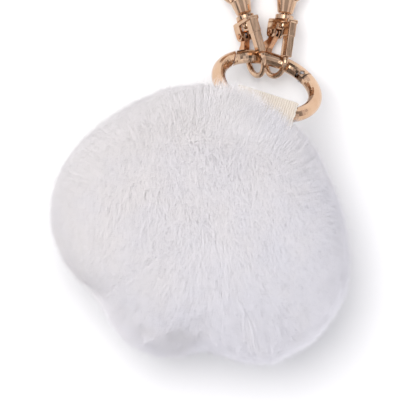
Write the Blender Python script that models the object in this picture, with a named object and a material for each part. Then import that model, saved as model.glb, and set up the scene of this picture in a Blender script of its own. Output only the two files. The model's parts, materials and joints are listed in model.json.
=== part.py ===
"""Plush keychain: a white fur paw on a spring-gate ring that carries two swivel trigger clasps.

The paw lies on its flat back, +Z up. The origin is the middle of the patch it rests on.
Lengths in the constants are millimetres and angles are degrees.
"""
import math

import bmesh
import bpy
from mathutils import Matrix, Vector

MM = 0.001
GAP = 0.3                 # between pieces that touch
RUN = 0.08                # radial clearance of a pin in its hole
CHAMFER = 0.1             # on the ends of pins
CUT_OVER = 1.0            # how far a cutter runs past what it cuts
SMOOTH_ANGLE = 40.0

# Paw
PAW_OUTLINE = (           # (direction, reach) of the knots round the paw, anticlockwise from +X
    (0, 44.0), (25, 41.8), (50, 43.2), (85, 41.6), (125, 40.6), (170, 43.6),
    (193, 41.0), (217, 36.2), (247, 41.0), (278, 38.2), (300, 46.6), (328, 49.2))
OUTLINE_STEPS = 48
SEAM_HEIGHT = 27.2
FRONT_RISE = 23.0
REST_SHARE = 0.42         # the flat back patch as a share of the paw's reach
PANEL_THICKNESS = 9.0     # fur pile and its backing
DOME_POWER = 0.86         # under 1 fills the shoulders out
OUTER_RINGS = 8
INNER_RINGS = 4
SEAM_THREAD_RADIUS = 0.35
SEAM_THREAD_STEPS = 6
SEAM_INSET = 7.6

# Spring-gate ring
RING_RADIUS = 15.0        # to the middle of the wire
WIRE_RADIUS = 2.1
RING_SPOT = (21.2, 41.1)
RING_HEADING = -17.8      # of the diameter that stays level
RING_LEAN = 56.0          # the far side lies this much below the near side
FAR_HEIGHT = 6.3
RING_STEPS = 80
WIRE_STEPS = 16

# Gate in the ring: angles run from the level diameter towards the far side
HINGE_END = 44.0
LATCH_END = 141.0
GATE_MIDDLE = 92.0
GATE_GAP = 0.35
GATE_CUT = (6.0, 8.0, 31.5)  # the cutter's inner reach, half width at the ends, outer reach
PIN_ANGLE = 50.0
PIN_REACH = 14.0
PIN_RADIUS = 0.6
PIN_HALF = 1.75
TONGUE_OUTLINE = (        # from the ring's end round the pin, with a flat for the plunger
    (-0.9, -2.8), (0.95, -2.8), (1.15, 0.0), (0.64, 0.95), (-0.64, 0.95), (-1.15, 0.0))
TONGUE_HALF = 0.65
SLOT_HALF = 0.85
SLOT_RADIUS = 1.5
SLOT_OUT = 4.0            # past the wire, inward and back
BORE_RADIUS = 0.9
BORE_SIDE = 0.15          # of the bore, outward from the pin
BORE_SPAN = (1.1, 7.0)
PLUNGER_PROFILE = (       # radius and height, nose to back
    (0.0, 1.2), (0.45, 1.25), (0.72, 1.6), (0.72, 2.3), (0.6, 2.4), (0.0, 2.4))
GATE_SPRING_SPAN = (2.85, 6.6)
GATE_SPRING = (0.55, 0.13, 6)   # coil radius, wire radius, turns

# Tape loop round the ring's near side
TAPE_THICKNESS = 0.9
TAPE_SPAN = (-8.0, 10.6)  # along the level diameter
TAPE_CLEAR = 2.45         # inside half width of the loop
TAPE_SLACK = 5.2          # how far the loop reaches into the ring's hole
ROOT_BACK = 5.1           # from the wire to the seam, outward
ROOT_DROP = 4.0           # from the wire to the seam, downward
ROOT_RADIUS = 1.0
STITCH_RADIUS = 0.3

# Room that the fur leaves round the tape and the ring
PARTING_RADIUS = 13.2
PARTING_BACK = 1.6
PARTING_SPAN = (-17.2, 13.1)
PARTING_SWEEP = (-77.0, 138.0)

# Trigger clasp: X across towards its bar, Y along it towards its swivel, Z through it
CLAW_RADIUS = 4.4
CLAW_WIRE = 0.85
CLAW_FROM = 30.0
CLAW_SWEEP = -229.0
BAR = (3.0, 5.6, 1.45, 12.4)
BAR_HALF = 1.25
BAR_BEVEL = 0.25
SADDLE = (2.75, 5.75, 7.7, 12.2)
SADDLE_HALF = 1.4
SADDLE_BEVEL = 0.3
HEAD = (-4.0, 5.4, 11.7, 13.1)
HEAD_HALF = 2.1
HEAD_BEVEL = 0.4
COLLAR_X = 1.05
COLLAR_RADIUS = 2.8
COLLAR_SPAN = (12.9, 14.3)
COLLAR_RIM = 0.25
PIVOT = (-2.4, 8.9)
CHEEK_RADIUS = 1.6
CHEEK_TOP = 12.1
CHEEK_DEPTH = (1.2, 1.95)
LEVER_HALF = 0.95
LEVER_BEVEL = 0.15
LEVER_EAR = 1.5
LEVER_OUTLINE = (         # below the ear, down the outer side with its thumb tab, up the inner
    (-4.0, 7.7), (-4.6, 6.8), (-5.9, 6.2), (-6.1, 5.6), (-5.1, 4.9), (-5.2, 2.0),
    (-4.0, 1.6), (-3.5, 4.2), (-1.6, 7.2))
POCKET_HALF = 0.5
POCKET_RADIUS = 1.12
POCKET_OUT = 3.0          # past the ear, towards the claw's throat
LEVER_PIN_RADIUS = 0.5
RIVET_HEAD_RADIUS = 0.95
RIVET_HEAD_SPAN = (2.05, 2.5)
RIVET_CROWN = 0.67
LEVER_SPRING = (0.82, 0.13, 2)  # coil radius, wire radius, turns

# Swivel on the clasp's collar
POST_RADIUS = 1.05
POST_HOLE = 1.2
POST_HEAD = (             # radius and height, the rounded end under the head
    (0.0, 10.2), (1.16, 10.35), (1.45, 10.7), (1.45, 11.3))
POST_TOP = 16.6
BELL_PROFILE = (          # radius and height, foot to crown
    (2.0, 14.7), (2.35, 15.1), (2.75, 17.0), (3.1, 18.9), (2.8, 19.5))
EYE_CENTRE = 23.0
EYE_OUTER = 5.2
EYE_INNER = 3.35
EYE_HALF = 1.1
EYE_BEVEL = 0.35

FINISHES = (
    # name, colour, roughness, metallic
    ("white_fur", (0.86, 0.85, 0.88), 0.95, 0.0),
    ("polyester_filling", (0.90, 0.90, 0.90), 1.0, 0.0),
    ("cream_cotton", (0.82, 0.76, 0.64), 0.9, 0.0),
    ("champagne_gold", (0.80, 0.52, 0.34), 0.18, 1.0),
    ("rose_gold", (0.72, 0.42, 0.26), 0.22, 1.0),
    ("spring_steel", (0.62, 0.62, 0.63), 0.35, 1.0),
)

CLASPS = (
    # name, gate angle, heading, pitch, roll, gate's place in the claw across and along
    ("left", 113.0, -16.0, -9.5, 60.0, 0.5, 1.3),
    ("right", 88.0, 8.0, -5.5, 51.0, 0.1, 0.2),
)


# ------------------------------------------------------------------ scene, materials, frames

def clear_scene():
    for item in list(bpy.data.objects):
        bpy.data.objects.remove(item, do_unlink=True)


def material(name, colour, roughness, metallic):
    result = bpy.data.materials.new(name)
    result.use_nodes = True
    shader = result.node_tree.nodes["Principled BSDF"]
    shader.inputs["Base Color"].default_value = (*colour, 1.0)
    shader.inputs["Roughness"].default_value = roughness
    shader.inputs["Metallic"].default_value = metallic
    return result


def rotation(angle, axis):
    return Matrix.Rotation(math.radians(angle), 4, axis)


def shift(x, y, z):
    return Matrix.Translation((x * MM, y * MM, z * MM))


def add_frame(name, world, parent=None):
    """An empty whose place is a joint, or the middle of a group of pieces."""
    result = bpy.data.objects.new(name, None)
    bpy.context.collection.objects.link(result)
    result.empty_display_size = 2 * MM
    result.parent = parent
    bpy.context.view_layer.update()
    result.matrix_world = world
    bpy.context.view_layer.update()
    return result


def polar(reach, angle):
    return reach * math.cos(math.radians(angle)), reach * math.sin(math.radians(angle))


# ------------------------------------------------------------------ mesh builders, millimetres

def add_piece(name, mesh_data, frame, finish=None):
    """Turn a mesh in millimetres into an object of its frame."""
    bmesh.ops.remove_doubles(mesh_data, verts=mesh_data.verts, dist=0.0005)
    bmesh.ops.recalc_face_normals(mesh_data, faces=mesh_data.faces)
    bmesh.ops.scale(mesh_data, vec=(MM, MM, MM), verts=mesh_data.verts)
    mesh = bpy.data.meshes.new(name)
    mesh_data.to_mesh(mesh)
    mesh_data.free()
    mesh.shade_smooth()
    mesh.set_sharp_from_angle(angle=math.radians(SMOOTH_ANGLE))
    result = bpy.data.objects.new(name, mesh)
    bpy.context.collection.objects.link(result)
    result.parent = frame
    if finish:
        mesh.materials.append(finish)
    return result


def add_tool(name, mesh_data, frame):
    """A hidden shape that only cuts or joins."""
    result = add_piece(name, mesh_data, frame)
    result.hide_render = True
    result.display_type = "WIRE"
    return result


def combine(target, tool, operation):
    step = target.modifiers.new(tool.name, "BOOLEAN")
    step.operation = operation
    step.solver = "EXACT"
    step.object = tool


def box(x_low, x_high, y_low, y_high, z_low, z_high, bevel=0.0):
    result = bmesh.new()
    bmesh.ops.create_cube(result, size=1.0)
    size = (x_high - x_low, y_high - y_low, z_high - z_low)
    middle = ((x_low + x_high) / 2, (y_low + y_high) / 2, (z_low + z_high) / 2)
    bmesh.ops.scale(result, vec=size, verts=result.verts)
    bmesh.ops.translate(result, vec=middle, verts=result.verts)
    if bevel:
        bmesh.ops.bevel(result, geom=result.edges[:], offset=bevel, segments=2, profile=0.5,
                        affect="EDGES")
    return result


def prism(points, z_low, z_high, bevel=0.0):
    """A flat outline raised from z_low to z_high."""
    result = bmesh.new()
    floor = result.faces.new([result.verts.new((x, y, z_low)) for x, y in points])
    raised = bmesh.ops.extrude_face_region(result, geom=[floor])["geom"]
    top = [item for item in raised if isinstance(item, bmesh.types.BMVert)]
    bmesh.ops.translate(result, vec=(0, 0, z_high - z_low), verts=top)
    if bevel:
        rims = [edge for edge in result.edges
                if abs(edge.verts[0].co.z - edge.verts[1].co.z) < bevel]
        bmesh.ops.bevel(result, geom=rims, offset=bevel, segments=2, profile=0.5, affect="EDGES")
    return result


def circle(centre, radius, steps, start=0.0, sweep=360.0):
    count = steps if sweep >= 360.0 else steps + 1
    points = []
    for index in range(count):
        x, y = polar(radius, start + sweep * index / steps)
        points.append((centre[0] + x, centre[1] + y))
    return points


def turned(profile, steps):
    """A profile of (radius, height) pairs turned about Z, closed at both ends on the axis."""
    result = bmesh.new()
    rings = []
    for radius, height in profile:
        if radius == 0.0:
            rings.append([result.verts.new((0, 0, height))])
            continue
        rings.append([result.verts.new((x, y, height)) for x, y in circle((0, 0), radius, steps)])
    join_rings(result, rings)
    return result


def join_rings(mesh_data, rings, closed=False):
    """Faces between neighbouring rings. A ring of one point makes a fan."""
    pairs = list(zip(rings, rings[1:]))
    if closed:
        pairs.append((rings[-1], rings[0]))
    for first, second in pairs:
        count = max(len(first), len(second))
        for index in range(count):
            after = (index + 1) % count
            if len(first) == 1:
                corners = (first[0], second[after], second[index])
            elif len(second) == 1:
                corners = (first[index], first[after], second[0])
            else:
                corners = (first[index], first[after], second[after], second[index])
            mesh_data.faces.new(corners)


def wire_arc(radius, wire, start, sweep, steps, wire_steps):
    """Round wire bent to an arc about Z. A full turn closes on itself, a part has flat ends."""
    result = bmesh.new()
    full = abs(sweep) >= 360.0
    rings = []
    for index in range(steps if full else steps + 1):
        turn = Matrix.Rotation(math.radians(start + sweep * index / steps), 3, "Z")
        rings.append([result.verts.new(turn @ Vector((radius + across, 0, up)))
                      for across, up in circle((0, 0), wire, wire_steps)])
    join_rings(result, rings, closed=full)
    if not full:
        result.faces.new(rings[0])
        result.faces.new(rings[-1])
    return result


def coil(radius, wire, length, turns, steps_per_turn=12, wire_steps=5):
    """A spring along Z from 0 to length."""
    result = bmesh.new()
    rings = []
    rise = length - 2 * wire
    total = turns * steps_per_turn
    for index in range(total + 1):
        turn = Matrix.Rotation(2 * math.pi * index / steps_per_turn, 3, "Z")
        height = wire + rise * index / total
        rings.append([result.verts.new(turn @ Vector((radius + across, 0, height + up)))
                      for across, up in circle((0, 0), wire, wire_steps)])
    join_rings(result, rings)
    result.faces.new(rings[0])
    result.faces.new(rings[-1])
    return result


def hull(circles, low, high, steps=24):
    """A prism along X round a set of circles, each (y, z, radius)."""
    result = bmesh.new()
    for x in (low, high):
        for y, z, radius in circles:
            for across, up in circle((y, z), radius, steps):
                result.verts.new((x, across, up))
    made = bmesh.ops.convex_hull(result, input=result.verts[:])
    spare = [item for item in made["geom_interior"] if isinstance(item, bmesh.types.BMVert)]
    bmesh.ops.delete(result, geom=spare, context="VERTS")
    bmesh.ops.dissolve_limit(result, angle_limit=math.radians(0.5), verts=result.verts,
                             edges=result.edges)
    return result


def turn_mesh(mesh_data, matrix):
    bmesh.ops.transform(mesh_data, matrix=matrix, verts=mesh_data.verts)
    return mesh_data


def moved(x, y, z):
    return Matrix.Translation((x, y, z))


# ------------------------------------------------------------------ paw

def paw_reach(angle):
    """The paw's outline: a smooth closed curve through its knots."""
    knots = PAW_OUTLINE
    count = len(knots)
    angle = angle % 360.0
    index = max(i for i in range(count) if knots[i][0] <= angle)
    here, after = knots[index], knots[(index + 1) % count]
    span = (after[0] - here[0]) % 360.0
    share = (angle - here[0]) / span
    slopes = []
    for middle in (index, index + 1):
        back, front = knots[(middle - 1) % count], knots[(middle + 1) % count]
        slopes.append((front[1] - back[1]) / ((front[0] - back[0]) % 360.0) * span)
    square, cube = share ** 2, share ** 3
    return ((2 * cube - 3 * square + 1) * here[1] + (cube - 2 * square + share) * slopes[0]
            + (3 * square - 2 * cube) * after[1] + (cube - square) * slopes[1])


def paw_ring(mesh_data, share, inset, height):
    """One closed ring of points at a share of the paw's reach."""
    points = []
    for index in range(OUTLINE_STEPS):
        angle = 360.0 * index / OUTLINE_STEPS
        x, y = polar((paw_reach(angle) - inset) * share, angle)
        points.append(mesh_data.verts.new((x, y, height)))
    return points


def front_dome(mesh_data, inset, low, rings):
    """Rings from the rim at height low up to the crown."""
    rise = SEAM_HEIGHT + FRONT_RISE - inset - low
    result = []
    for index in range(rings):
        angle = math.pi / 2 * index / rings
        share = math.cos(angle) ** DOME_POWER
        result.append(paw_ring(mesh_data, share, inset, low + rise * math.sin(angle) ** DOME_POWER))
    result.append([mesh_data.verts.new((0, 0, low + rise))])
    return result


def back_dome(mesh_data, inset, high, rings):
    """Rings from the rim at height high down to the edge of the flat patch."""
    drop = high - inset
    result = []
    for index in range(rings + 1):
        angle = math.pi / 2 * index / rings
        share = REST_SHARE + (1 - REST_SHARE) * math.cos(angle) ** DOME_POWER
        result.append(paw_ring(mesh_data, share, inset, high - drop * math.sin(angle) ** DOME_POWER))
    return result


def front_panel():
    result = bmesh.new()
    low = SEAM_HEIGHT + GAP / 2
    outer = front_dome(result, 0.0, low, OUTER_RINGS)
    inner = front_dome(result, PANEL_THICKNESS, low, INNER_RINGS)
    join_rings(result, outer)
    join_rings(result, inner)
    join_rings(result, [inner[0], outer[0]])
    return result


def back_panel():
    result = bmesh.new()
    high = SEAM_HEIGHT - GAP / 2
    outer = back_dome(result, 0.0, high, OUTER_RINGS)
    inner = back_dome(result, PANEL_THICKNESS, high, INNER_RINGS)
    join_rings(result, outer)
    join_rings(result, inner)
    join_rings(result, [inner[0], outer[0]])
    result.faces.new(outer[-1])
    result.faces.new(inner[-1])
    return result


def stuffing_body():
    result = bmesh.new()
    inset = PANEL_THICKNESS + GAP
    upper = front_dome(result, inset, SEAM_HEIGHT, INNER_RINGS)
    lower = back_dome(result, inset, SEAM_HEIGHT, INNER_RINGS)
    bmesh.ops.delete(result, geom=lower[0], context="VERTS")
    lower[0] = upper[0]
    join_rings(result, upper)
    join_rings(result, lower)
    result.faces.new(lower[-1])
    return result


def seam_loop(radius):
    """A thread round the paw in the seam, on the inner side of the pile."""
    result = bmesh.new()
    rings = []
    for index in range(OUTLINE_STEPS):
        angle = 360.0 * index / OUTLINE_STEPS
        reach = paw_reach(angle) - SEAM_INSET
        turn = Matrix.Rotation(math.radians(angle), 3, "Z")
        rings.append([result.verts.new(turn @ Vector((reach + across, 0, SEAM_HEIGHT + up)))
                      for across, up in circle((0, 0), radius, SEAM_THREAD_STEPS)])
    join_rings(result, rings, closed=True)
    return result


def parting_wedge():
    """The sector that the tape and the ring's near side swing through."""
    low, high = PARTING_SWEEP
    rim = circle((0, 0), PARTING_RADIUS, 16, low, high - low)
    wedge = prism([(-PARTING_BACK, 0)] + rim, *PARTING_SPAN)
    return turn_mesh(wedge, Matrix(((0, 0, 1, 0), (1, 0, 0, 0), (0, 1, 0, 0), (0, 0, 0, 1))))


def build_paw(frame, tape_frame, fur, stuffing):
    front = add_piece("front_fur_panel", front_panel(), frame, fur)
    back = add_piece("back_fur_panel", back_panel(), frame, fur)
    groove = add_tool("seam_groove", seam_loop(SEAM_THREAD_RADIUS + GAP), frame)
    parting = add_tool("fur_parting", parting_wedge(), tape_frame)
    for panel in (front, back):
        combine(panel, parting, "DIFFERENCE")
        combine(panel, groove, "DIFFERENCE")
    core = add_piece("stuffing", stuffing_body(), frame, stuffing)
    thread = add_piece("seam_thread", seam_loop(SEAM_THREAD_RADIUS), frame, fur)
    for inner in (core, thread):
        combine(inner, parting, "DIFFERENCE")


# ------------------------------------------------------------------ tape loop

def build_tape(frame, cream):
    """The frame's origin is the seam, X along it, Y outward."""
    lean = math.radians(RING_LEAN)
    slack_y = ROOT_BACK + TAPE_SLACK * math.cos(lean)
    slack_z = ROOT_DROP - TAPE_SLACK * math.sin(lean)
    outside = TAPE_CLEAR + TAPE_THICKNESS
    loop = add_piece("tape_loop", hull([(0, 0, ROOT_RADIUS), (ROOT_BACK, ROOT_DROP, outside),
                                        (slack_y, slack_z, outside)], *TAPE_SPAN), frame, cream)
    past = (TAPE_SPAN[0] - CUT_OVER, TAPE_SPAN[1] + CUT_OVER)
    slot = hull([(ROOT_BACK, ROOT_DROP, TAPE_CLEAR), (slack_y, slack_z, TAPE_CLEAR)], *past)
    combine(loop, add_tool("tape_slot", slot, frame), "DIFFERENCE")
    channel = hull([(0, 0, STITCH_RADIUS + RUN)], *past)
    combine(loop, add_tool("stitch_channel", channel, frame), "DIFFERENCE")
    add_piece("tape_stitching", hull([(0, 0, STITCH_RADIUS)], *TAPE_SPAN), frame, cream)


# ------------------------------------------------------------------ ring and gate
# The ring's frame is its centre: X the level diameter, Y towards the far side.
# The gate's frame is its pin: X outward, Y along the wire towards the latch.

def pin_in_ring():
    return moved(*polar(PIN_REACH, PIN_ANGLE), 0) @ rotation(PIN_ANGLE, "Z")


def gate_outline(grow):
    """The part of the ring that the gate fills, in the ring's plane, larger by grow each end.

    The latch face lies square to the line from the pin, so that the gate swings free of it.
    """
    inner, half, outer = GATE_CUT
    pin = Vector(polar(PIN_REACH, PIN_ANGLE))
    along = (Vector(polar(RING_RADIUS, LATCH_END)) - pin).normalized()
    across = half * Vector((-along.y, along.x))
    latch = Vector(polar(RING_RADIUS, LATCH_END)) + grow * along
    back = Vector(polar(grow, HINGE_END - 90.0))
    return [Vector(polar(RING_RADIUS - half, HINGE_END)) + back,
            Vector(polar(RING_RADIUS + half, HINGE_END)) + back,
            Vector(polar(outer, GATE_MIDDLE)), latch - across, latch + across,
            Vector(polar(inner, GATE_MIDDLE))]


def ring_wire():
    return wire_arc(RING_RADIUS, WIRE_RADIUS, 0, 360, RING_STEPS, WIRE_STEPS)


def along_bore(mesh_data):
    """Lay a piece turned about Z along the gate's bore."""
    return turn_mesh(mesh_data, moved(BORE_SIDE, 0, 0) @ rotation(-90, "X"))


def build_ring_body(ring_frame, gate_frame, gold):
    high = WIRE_RADIUS + CUT_OVER
    body = add_piece("ring_body", ring_wire(), ring_frame, gold)
    opening = prism(gate_outline(GATE_GAP), -high, high)
    combine(body, add_tool("gate_opening", opening, ring_frame), "DIFFERENCE")
    tongue = prism(TONGUE_OUTLINE, -TONGUE_HALF, TONGUE_HALF)
    combine(body, add_tool("tongue", tongue, gate_frame), "UNION")
    hole = prism(circle((0, 0), PIN_RADIUS + RUN, 16), -high, high)
    combine(body, add_tool("tongue_hole", hole, gate_frame), "DIFFERENCE")


def build_gate(gate_frame, gold, steel):
    high = WIRE_RADIUS + CUT_OVER
    to_gate = pin_in_ring().inverted()
    gate = add_piece("ring_gate", turn_mesh(ring_wire(), to_gate), gate_frame, gold)
    span = turn_mesh(prism(gate_outline(0.0), -high, high), to_gate)
    combine(gate, add_tool("gate_span", span, gate_frame), "INTERSECT")
    slot = prism([(-SLOT_OUT, -SLOT_OUT), (SLOT_RADIUS, -SLOT_OUT)]
                 + circle((0, 0), SLOT_RADIUS, 8, 0, 90) + [(-SLOT_OUT, SLOT_RADIUS)],
                 -SLOT_HALF, SLOT_HALF)
    combine(gate, add_tool("gate_slot", slot, gate_frame), "DIFFERENCE")
    hole = prism(circle((0, 0), PIN_RADIUS + RUN, 16), -high, high)
    combine(gate, add_tool("gate_pin_hole", hole, gate_frame), "DIFFERENCE")
    low, end = BORE_SPAN
    bore = turned([(0, low), (BORE_RADIUS, low), (BORE_RADIUS, end), (0, end)], 16)
    combine(gate, add_tool("gate_bore", along_bore(bore), gate_frame), "DIFFERENCE")

    shank = PIN_HALF - CHAMFER
    pin = turned([(0, -PIN_HALF), (PIN_RADIUS, -shank), (PIN_RADIUS, shank), (0, PIN_HALF)], 16)
    add_piece("gate_hinge_pin", pin, gate_frame, steel)
    coil_radius, wire, turns = GATE_SPRING
    spring = coil(coil_radius, wire, GATE_SPRING_SPAN[1] - GATE_SPRING_SPAN[0], turns)
    spring = turn_mesh(spring, moved(0, 0, GATE_SPRING_SPAN[0]))
    add_piece("gate_spring", along_bore(spring), gate_frame, steel)


def build_plunger(frame, steel):
    """The frame lies on the bore's line, level with the pin."""
    plunger = turn_mesh(turned(PLUNGER_PROFILE, 16), rotation(-90, "X"))
    add_piece("gate_plunger", plunger, frame, steel)


# ------------------------------------------------------------------ trigger clasp

def clasp_rotation(heading, pitch, roll):
    return rotation(-heading, "Z") @ rotation(pitch, "X") @ rotation(-roll, "Y")


def build_hook(side, frame, gold):
    claw = wire_arc(CLAW_RADIUS, CLAW_WIRE, CLAW_FROM, CLAW_SWEEP, 26, 12)
    hook = add_piece(f"{side}_hook_body", claw, frame, gold)
    shapes = {
        "bar": box(*BAR, -BAR_HALF, BAR_HALF, BAR_BEVEL),
        "saddle": box(*SADDLE, -SADDLE_HALF, SADDLE_HALF, SADDLE_BEVEL),
        "head": box(*HEAD, -HEAD_HALF, HEAD_HALF, HEAD_BEVEL),
    }
    low, high = COLLAR_SPAN
    collar = turned([(0, low), (COLLAR_RADIUS, low), (COLLAR_RADIUS, high - COLLAR_RIM),
                     (COLLAR_RADIUS - COLLAR_RIM, high), (0, high)], 28)
    shapes["collar"] = turn_mesh(collar, moved(COLLAR_X, 0, 0) @ rotation(-90, "X"))
    left, right = PIVOT[0] - CHEEK_RADIUS, PIVOT[0] + CHEEK_RADIUS
    outline = circle(PIVOT, CHEEK_RADIUS, 12, 180, 180) + [(right, CHEEK_TOP), (left, CHEEK_TOP)]
    near, far = CHEEK_DEPTH
    shapes["upper_cheek"] = prism(outline, near, far)
    shapes["lower_cheek"] = prism(outline, -far, -near)
    for name, shape in shapes.items():
        combine(hook, add_tool(f"{side}_{name}", shape, frame), "UNION")
    foot, top = HEAD[2] - CUT_OVER, high + CUT_OVER
    bore = turned([(0, foot), (POST_HOLE, foot), (POST_HOLE, top), (0, top)], 20)
    bore = turn_mesh(bore, moved(COLLAR_X, 0, 0) @ rotation(-90, "X"))
    combine(hook, add_tool(f"{side}_post_hole", bore, frame), "DIFFERENCE")
    far += CUT_OVER
    hole = prism(circle(PIVOT, LEVER_PIN_RADIUS + RUN, 14), -far, far)
    combine(hook, add_tool(f"{side}_rivet_hole", hole, frame), "DIFFERENCE")


def build_lever(side, frame, gold, steel):
    """The frame's origin is the lever's pivot."""
    below = [(x - PIVOT[0], y - PIVOT[1]) for x, y in LEVER_OUTLINE]
    outline = circle((0, 0), LEVER_EAR, 12, 0, 180) + below
    blank = prism(outline, -LEVER_HALF, LEVER_HALF, LEVER_BEVEL)
    lever = add_piece(f"{side}_lever", blank, frame, gold)
    pocket = prism(circle((0, 0), POCKET_RADIUS, 12, 90, 180)
                   + [(POCKET_OUT, -POCKET_RADIUS), (POCKET_OUT, POCKET_OUT), (0, POCKET_OUT)],
                   -POCKET_HALF, POCKET_HALF)
    combine(lever, add_tool(f"{side}_pocket", pocket, frame), "DIFFERENCE")
    through = LEVER_HALF + CUT_OVER
    hole = prism(circle((0, 0), LEVER_PIN_RADIUS + RUN, 14), -through, through)
    combine(lever, add_tool(f"{side}_lever_hole", hole, frame), "DIFFERENCE")

    low, high = RIVET_HEAD_SPAN
    shank, head = LEVER_PIN_RADIUS, RIVET_HEAD_RADIUS
    rivet = turned([(0, -high), (RIVET_CROWN, CHAMFER - high), (head, -low), (shank, -low),
                    (shank, low), (head, low), (RIVET_CROWN, high - CHAMFER), (0, high)], 16)
    add_piece(f"{side}_lever_pin", rivet, frame, gold)
    coil_radius, wire, turns = LEVER_SPRING
    length = 2 * POCKET_HALF - RUN
    spring = turn_mesh(coil(coil_radius, wire, length, turns), moved(0, 0, -length / 2))
    add_piece(f"{side}_lever_spring", spring, frame, steel)


def build_swivel(side, frame, gold):
    """The frame lies on the collar's axis, level with the claw's centre, its Y along the axis."""
    along = rotation(-90, "X")
    post = turned([*POST_HEAD, (POST_RADIUS, POST_HEAD[-1][1]), (POST_RADIUS, POST_TOP),
                   (0, POST_TOP)], 20)
    add_piece(f"{side}_swivel_post", turn_mesh(post, along), frame, gold)
    bore = POST_RADIUS + GAP
    foot, crown = BELL_PROFILE[0], BELL_PROFILE[-1]
    bell = turned([(0, POST_TOP + GAP), (bore, POST_TOP + GAP), (bore, foot[1]), *BELL_PROFILE,
                   (0, crown[1])], 28)
    eye = add_piece(f"{side}_swivel_eye", turn_mesh(bell, along), frame, gold)
    ring = prism(circle((0, EYE_CENTRE), EYE_OUTER, 36), -EYE_HALF, EYE_HALF, EYE_BEVEL)
    combine(eye, add_tool(f"{side}_eye_ring", ring, frame), "UNION")
    through = EYE_HALF + CUT_OVER
    hole = prism(circle((0, EYE_CENTRE), EYE_INNER, 28), -through, through)
    combine(eye, add_tool(f"{side}_eye_hole", hole, frame), "DIFFERENCE")


def build_clasp(clasp, ring_world, gate_frame, gold, copper, steel):
    side, gate_angle, heading, pitch, roll, across, along = clasp
    spot = ring_world @ Vector((*polar(RING_RADIUS * MM, gate_angle), 0))
    world = Matrix.Translation(spot) @ clasp_rotation(heading, pitch, roll)
    joint = add_frame(f"{side}_clasp_joint", world, gate_frame)
    claw_world = world @ shift(-across, -along, 0)
    frame = add_frame(f"{side}_claw_centre", claw_world, joint)
    build_hook(side, frame, gold)
    pivot = add_frame(f"{side}_lever_joint", claw_world @ shift(*PIVOT, 0), frame)
    build_lever(side, pivot, copper, steel)
    axis = claw_world @ shift(COLLAR_X, 0, 0) @ rotation(roll, "Y")
    build_swivel(side, add_frame(f"{side}_swivel_joint", axis, frame), gold)


# ------------------------------------------------------------------ the whole keychain

def build():
    clear_scene()
    fur, filling, cream, gold, copper, steel = (material(*finish) for finish in FINISHES)

    centre_height = FAR_HEIGHT + RING_RADIUS * math.sin(math.radians(RING_LEAN))
    ring_world = (shift(*RING_SPOT, centre_height) @ rotation(RING_HEADING, "Z")
                  @ rotation(-RING_LEAN, "X"))
    near = ring_world @ Vector((0, -RING_RADIUS * MM, 0))
    root_world = (Matrix.Translation(near) @ rotation(RING_HEADING, "Z")
                  @ shift(0, -ROOT_BACK, -ROOT_DROP))

    paw_frame = add_frame("paw", Matrix.Identity(4))
    tape_frame = add_frame("tape_joint", root_world, paw_frame)
    ring_frame = add_frame("ring_joint", ring_world, tape_frame)
    pin = pin_in_ring()
    gate_world = ring_world @ shift(*pin.translation) @ rotation(PIN_ANGLE, "Z")
    gate_frame = add_frame("gate_joint", gate_world, ring_frame)
    plunger_frame = add_frame("plunger_joint", gate_world @ shift(BORE_SIDE, 0, 0), gate_frame)

    build_paw(paw_frame, tape_frame, fur, filling)
    build_tape(tape_frame, cream)
    build_ring_body(ring_frame, gate_frame, gold)
    build_gate(gate_frame, gold, steel)
    build_plunger(plunger_frame, steel)
    for clasp in CLASPS:
        build_clasp(clasp, ring_world, gate_frame, gold, copper, steel)


build()
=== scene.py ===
"""Looks of the plush keychain: fur paw, woven tape loop, gold ring and clasps.

Metres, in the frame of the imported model: the paw lies on its back, +Z up.
"""

import json
import math

import bmesh
import bpy
import numpy as np
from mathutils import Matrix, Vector, kdtree
from mathutils.bvhtree import BVHTree


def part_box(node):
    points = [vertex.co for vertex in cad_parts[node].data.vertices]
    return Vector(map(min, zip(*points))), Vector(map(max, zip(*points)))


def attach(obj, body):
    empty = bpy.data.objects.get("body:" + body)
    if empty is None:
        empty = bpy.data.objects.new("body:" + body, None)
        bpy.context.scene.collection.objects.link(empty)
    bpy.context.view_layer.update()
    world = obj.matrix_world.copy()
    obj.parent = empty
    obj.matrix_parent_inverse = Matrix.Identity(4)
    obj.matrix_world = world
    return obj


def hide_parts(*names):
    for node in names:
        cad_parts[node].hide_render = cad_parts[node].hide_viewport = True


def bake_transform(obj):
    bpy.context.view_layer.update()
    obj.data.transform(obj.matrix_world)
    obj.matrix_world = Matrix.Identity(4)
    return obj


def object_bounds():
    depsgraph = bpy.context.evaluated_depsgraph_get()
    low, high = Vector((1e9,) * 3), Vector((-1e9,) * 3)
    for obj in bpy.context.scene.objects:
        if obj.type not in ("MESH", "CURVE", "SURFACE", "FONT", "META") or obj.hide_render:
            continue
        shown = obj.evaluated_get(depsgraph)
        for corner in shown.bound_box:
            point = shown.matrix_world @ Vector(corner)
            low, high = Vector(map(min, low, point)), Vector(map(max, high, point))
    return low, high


SEED = 7

# View
VIEW_CENTRE = (0.00359, 0.00449)
VIEW_WIDTH = 0.12455
VIEW_HEIGHT = 0.020           # the level that VIEW_WIDTH is measured at
LENS = 400.0
SENSOR_WIDTH = 36.0

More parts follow.
